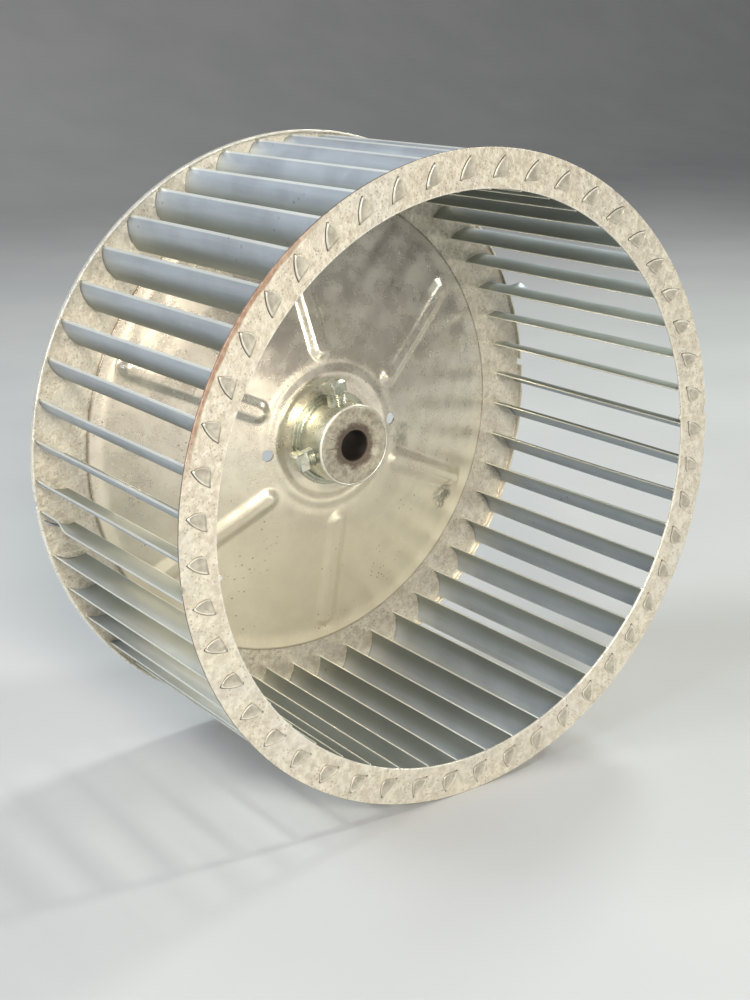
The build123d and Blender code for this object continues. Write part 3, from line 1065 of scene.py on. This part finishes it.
def blade_material():
    """Cool grey galvanised strip, drawn along its length, with bright cut edges and warm tabs; the blue cast
    is partly painted cool light, the bright edges are painted highlights and the tabs' warmth is painted
    light.
    """
    g = Graph("galvanised_blade")
    inner_edge = BLADE_INNER_EDGE * MM
    outer_edge = BLADE_OUTER_EDGE * MM
    drawn = g.noise(55, 4, 0.6, 0.0, g.stretched((6, 0.35, 6)))
    cloud = g.noise(38, 4, 0.6)
    # The strip's blue cast is partly painted cool light from the left.
    color = g.mix(g.between(cloud, 0.35, 0.65), (0.43, 0.465, 0.495), (0.49, 0.53, 0.56))
    color = g.mix(g.between(drawn, 0.4, 0.7, 0, 0.35), color, (0.62, 0.65, 0.67))

    # Duller, darker and greener towards the shaft, as painted shade inside the wheel, and painted highlights
    # along the cut edges
    radius = g.shaft_radius()
    # Painted shade: the blades darken towards the shaft, inside the wheel.
    color = g.tint(color, g.between(radius, 0.1225, 0.1160), 0.75, (0.30, 0.315, 0.25))
    color = g.tint(color, speckles(g, 230, 0.2, 0.4), 0.8, (0.10, 0.10, 0.10))
    inner_cut_highlight = g.between(radius, inner_edge + 0.0004, inner_edge + 0.0001)
    outer_cut_highlight = g.between(radius, outer_edge - 0.0004, outer_edge - 0.0001)
    # Painted highlight along both cut edges of each blade.
    color = g.tint(color, g.larger(inner_cut_highlight, outer_cut_highlight), 0.8, (0.88, 0.88, 0.80))

    # Tabs outside the ring faces: mottled, with a warm tone that is painted warm light, painted shade in the
    # crease and a painted highlight on the crest
    _, y, _ = g.xyz()
    height = g.math("ABSOLUTE", y)
    mottle = g.between(g.noise(260, 5, 0.65), 0.35, 0.65)
    # The warm tone is painted warm light; the tabs are the same metal as the blades.
    tab_tone_and_light = g.mix(mottle, (0.42, 0.39, 0.32), (0.60, 0.565, 0.475))
    # Painted highlight along the fold's crest.
    crest_highlight = g.between(height, TAB_CREST - 0.00012, TAB_CREST - 0.00002)
    crest_highlight = g.times(crest_highlight, g.between(g.noise(170, 4), 0.35, 0.65, 0.35, 1.0))
    tab_tone_and_light = g.mix(crest_highlight, tab_tone_and_light, (0.86, 0.82, 0.72))
    # Painted shade: dark where the tab's foot meets the ring's face.
    tab_tone_and_light = g.mix(g.between(height, RING_FACE + 0.0003, RING_FACE + 0.0001), tab_tone_and_light, (0.14, 0.12, 0.10))
    color = g.mix(g.between(height, RING_FACE - 0.0005, RING_FACE - 0.0001), color, tab_tone_and_light)
    g.bump(g.plus(drawn, g.noise(380, 3)), 0.25, 0.0003)
    return g.finish(color, g.between(cloud, 0.3, 0.7, 0.45, 0.51), 0.70)


def hub_material():
    """Turned, zinc-plated steel: tool marks round the shaft, scratches and brown dirt by the bore."""
    g = Graph("zinc_plated_steel")
    tool_mark_pitch = 0.00045
    radius = g.shaft_radius()
    tool_marks = g.math("SINE", g.times(radius, 2 * math.pi / tool_mark_pitch))
    cloud = g.noise(140, 4, 0.6)
    color = g.mix(g.between(cloud, 0.35, 0.7), (0.46, 0.47, 0.37), (0.62, 0.62, 0.51))

    # Dusty front face, brown round the bore and streaked outwards from it
    _, y, _ = g.xyz()
    face = g.between(y, HUB_FACE_Y + 0.0012, HUB_FACE_Y + 0.0004)
    dusty = g.mix(g.between(g.noise(420, 5, 0.7), 0.35, 0.65), (0.34, 0.29, 0.22), (0.62, 0.56, 0.45))
    color = g.tint(color, face, 0.75, dusty)
    wander = g.times(g.minus(g.noise(190, 5, 0.7), 0.5), 0.009)
    dirt = g.between(g.plus(radius, wander), 0.0112, 0.0085)
    color = g.tint(color, dirt, 0.85, (0.13, 0.095, 0.075))
    streaks = g.noise(9, 3, 0.6, 0.0, g.around_shaft(8))
    streaks = g.times(g.between(streaks, 0.60, 0.68), g.between(radius, 0.0150, 0.0110))
    color = g.tint(color, g.times(streaks, face), 0.8, (0.16, 0.12, 0.09))

    # Dark bore, a painted highlight on the front rim, and small pits
    color = g.tint(color, g.between(radius, 0.0070, 0.0066), 0.8, (0.05, 0.04, 0.035))
    # Painted highlight: the face's outer rounding is painted near white.
    rim = g.times(g.between(radius, 0.0163, 0.0166), g.between(y, HUB_FACE_Y + 0.0012, HUB_FACE_Y))
    color = g.tint(color, rim, 0.8, (0.92, 0.90, 0.80))
    color = g.tint(color, speckles(g, 600, 0.3, 0.55), 0.6, (0.2, 0.16, 0.12))
    roughness = g.plus(g.between(cloud, 0.3, 0.7, 0.25, 0.34), g.times(face, 0.16))
    roughness = g.plus(roughness, g.times(dirt, 0.25))
    g.bump(g.plus(g.times(tool_marks, 0.25), cloud), 0.25, 0.0002)
    return g.finish(color, roughness, 0.88)


def screw_material():
    """Zinc plating with dull patches and small pits."""
    g = Graph("zinc_plated_screw")
    cloud = g.noise(260, 4, 0.6)
    color = g.mix(g.between(cloud, 0.35, 0.7), (0.50, 0.50, 0.40), (0.70, 0.69, 0.59))
    color = g.tint(color, speckles(g, 700, 0.3, 0.5), 0.6, (0.15, 0.13, 0.1))
    g.bump(cloud, 0.3, 0.0002)
    return g.finish(color, g.between(cloud, 0.3, 0.7, 0.22, 0.36), 0.88)


def floor_material():
    """Plain, matt and pale grey, very slightly uneven."""
    g = Graph("studio_floor")
    color = g.mix(g.between(g.noise(6, 2), 0.3, 0.7), (0.47, 0.47, 0.47), (0.50, 0.50, 0.495))
    return g.finish(color, 0.85, 0.0)


# ---- Studio: floor, light and camera ----


def make_floor(material):
    """A pale sweep under and behind the wheel."""
    shell = Shell()
    ground = -WHEEL_RADIUS
    bend_start = FLOOR_WALL - FLOOR_BEND
    bend_points = [polar(FLOOR_BEND, angle) for angle in range(-85, 0, 5)]
    outline = [(-FLOOR_REACH, ground), (bend_start, ground)]
    outline += [(bend_start + x, ground + FLOOR_BEND + y) for x, y in bend_points]
    outline += [(FLOOR_WALL, ground + FLOOR_BEND), (FLOOR_WALL, ground + FLOOR_WALL_TOP)]
    rows = []
    for sideways in FLOOR_SIDES:
        rows.append(shell.add([(sideways, up, RING_SPAN / 2 - back) for back, up in outline]))
    shell.grid(rows)
    mesh = bpy.data.meshes.new("studio_floor")
    mesh.from_pydata([place(*p) for p in shell.points], [], shell.faces)
    mesh.shade_smooth()
    floor = bpy.data.objects.new("studio_floor", mesh)
    bpy.context.scene.collection.objects.link(floor)
    floor.data.materials.append(material)


def add_softbox(name, location, aim, size, power, color):
    """A rectangular area light, in metres and watts."""
    light = bpy.data.lights.new(name, "AREA")
    light.shape = "RECTANGLE"
    light.size, light.size_y = size
    light.energy = power
    light.color = color
    lamp = bpy.data.objects.new(name, light)
    bpy.context.scene.collection.objects.link(lamp)
    lamp.location = location
    lamp.rotation_euler = (Vector(aim) - Vector(location)).to_track_quat("-Z", "Y").to_euler()


def light_studio():
    """Dim sky, a warm key from the front, cool windows from the left and a greenish glint from the right."""
    world = bpy.data.worlds.new("studio")
    bpy.context.scene.world = world
    world.use_nodes = True
    background = world.node_tree.nodes["Background"]
    background.inputs["Color"].default_value = (0.86, 0.88, 0.92, 1)
    background.inputs["Strength"].default_value = 0.22
    bpy.context.scene.view_settings.view_transform = "Standard"
    add_softbox("key", (-0.75, -1.9, 1.0), (0, 0.02, -0.02), (0.6, 0.6), 47, (1.0, 0.93, 0.82))
    add_softbox("front_low", (0.35, -1.7, -0.02), (0, 0, -0.03), (0.8, 0.2), 3, (1.0, 0.93, 0.80))
    add_softbox("left_window", (-1.7, -0.45, 0.6), (0, 0, 0), (0.4, 0.7), 14, (0.84, 0.91, 1.0))
    add_softbox("left_sky", (-1.3, 0.4, 1.3), (0, 0, 0), (0.9, 0.9), 20, (0.82, 0.90, 1.0))
    add_softbox("right_window", (1.2, -0.4, 1.0), (0, 0.03, -0.03), (0.14, 0.14), 8, (0.95, 1.0, 0.93))
    add_softbox("back_right", (1.0, 0.45, 1.2), (0.03, 0.03, 0.03), (0.3, 0.3), 10, (0.93, 1.0, 0.95))


def aim_camera():
    """Long lens, a little above the shaft and to the left of the inlet."""
    camera = bpy.data.objects.new("camera", bpy.data.cameras.new("camera"))
    bpy.context.scene.collection.objects.link(camera)
    camera.data.lens = CAMERA_LENS
    camera.data.sensor_width = CAMERA_SENSOR
    camera.data.clip_start = 0.02
    camera.location = CAMERA_PLACE
    camera.rotation_euler = Vector(CAMERA_FORWARD).to_track_quat("-Z", "Y").to_euler()
    bpy.context.scene.camera = camera


# ---- Put it together ----

make_floor(floor_material())
light_studio()
aim_camera()

steel_ring = ring_material()
make_ring("front_ring", FRONT_RING_INNER_RADIUS, True, steel_ring)
make_ring("back_ring", BACK_RING_INNER_RADIUS, False, steel_ring)
make_disc(disc_material())
make_hub(hub_material())
make_blades(blade_material())
steel_screw = screw_material()
for screw_body, screw_facts in SCREWS.items():
    make_screw(screw_body, screw_facts, steel_screw)
